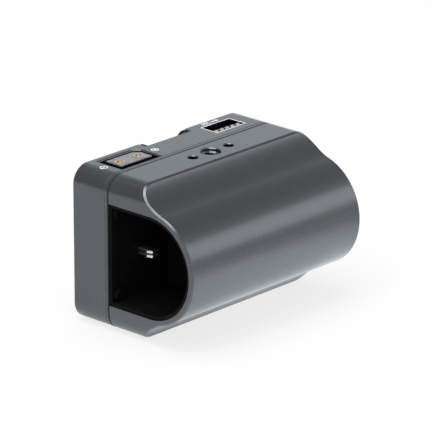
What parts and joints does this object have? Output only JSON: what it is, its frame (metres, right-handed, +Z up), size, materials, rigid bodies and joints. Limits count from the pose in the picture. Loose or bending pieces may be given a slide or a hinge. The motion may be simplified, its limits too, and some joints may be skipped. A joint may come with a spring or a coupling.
{
  "type": "camera power supply module",
  "caption": "Camera power supply module: metal housing with a D-shaped open bay in a rounded front, a threaded mounting hole with locating holes, and power and output sockets on top.",
  "frame": {"origin": "middle of the underside of the part's box, on the surface it stands on", "axes": "+X along the body away from the bay's open end, +Y to the back with the channel, +Z up"},
  "size_m": [0.076, 0.05, 0.0498],
  "materials": {
    "housing": "satin dark grey anodised, fine grained",
    "liner": "matte black moulded",
    "black_plastic": "matte black moulded",
    "socket_block": "satin grey moulded",
    "gold": "gold plated",
    "bright_contact": "nickel plated",
    "rubber": "matte black, soft",
    "black_screw": "black oxide",
    "board": "solder mask",
    "ferrite": "matte sintered",
    "chip": "moulded",
    "can": "moulded",
    "pad": "soft, matte",
    "ceramic": "glazed"
  },
  "bodies": {
    "root": {"front_housing": "housing", "middle_plate": "housing", "rear_housing": "housing", "left_channel_rail": "rubber", "right_channel_rail": "rubber", "housing_screws": "black_screw", "bay_liner": "liner", "liner_screws": "black_screw", "bay_contact_base": "black_plastic", "bay_contact_upper": "bright_contact", "bay_contact_lower": "bright_contact", "power_socket_shroud": "black_plastic", "power_socket_body": "black_plastic", "power_socket_face": "socket_block", "negative_sleeve": "gold", "positive_sleeve": "gold", "output_socket_body": "black_plastic", "output_contact_1": "bright_contact", "output_contact_2": "bright_contact", "output_contact_3": "bright_contact", "output_contact_4": "bright_contact", "output_contact_5": "bright_contact", "connector_board": "board", "link_header": "black_plastic", "link_pins": "gold", "converter_board": "board", "thermal_pad": "pad", "converter_chip": "chip", "power_inductor": "ferrite", "input_capacitor_1": "can", "input_capacitor_2": "can", "output_capacitor_1": "can", "output_capacitor_2": "can", "input_fuse": "ceramic"}
  },
  "joints": []
}
